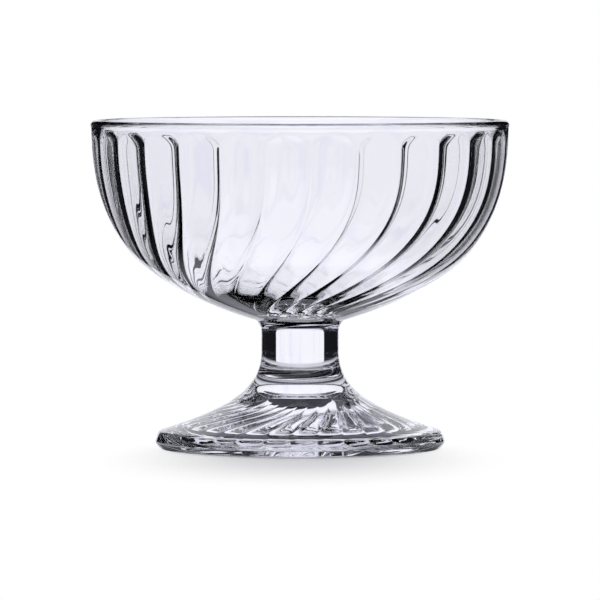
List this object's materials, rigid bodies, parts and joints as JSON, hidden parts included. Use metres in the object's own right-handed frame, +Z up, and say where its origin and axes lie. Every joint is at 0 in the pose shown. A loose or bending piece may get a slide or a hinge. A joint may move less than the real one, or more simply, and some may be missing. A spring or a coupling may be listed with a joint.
{
  "type": "sorbet coupe",
  "caption": "Footed clear-glass dessert coupe: a round bowl with swirled ribs inside, a short solid stem and a hollow bell foot; holds sorbet, ice cream or fruit.",
  "frame": {"origin": "middle of the flat ring that the foot stands on", "axes": "+Z up along the coupe's own axis; the picture's camera stands on the -Y side, +X to its right"},
  "size_m": [0.116, 0.116, 0.091],
  "materials": {
    "clear_glass": "fire-polished clear soda-lime glass"
  },
  "bodies": {
    "root": {"bowl": "clear_glass", "stem": "clear_glass", "foot": "clear_glass"}
  },
  "joints": []
}
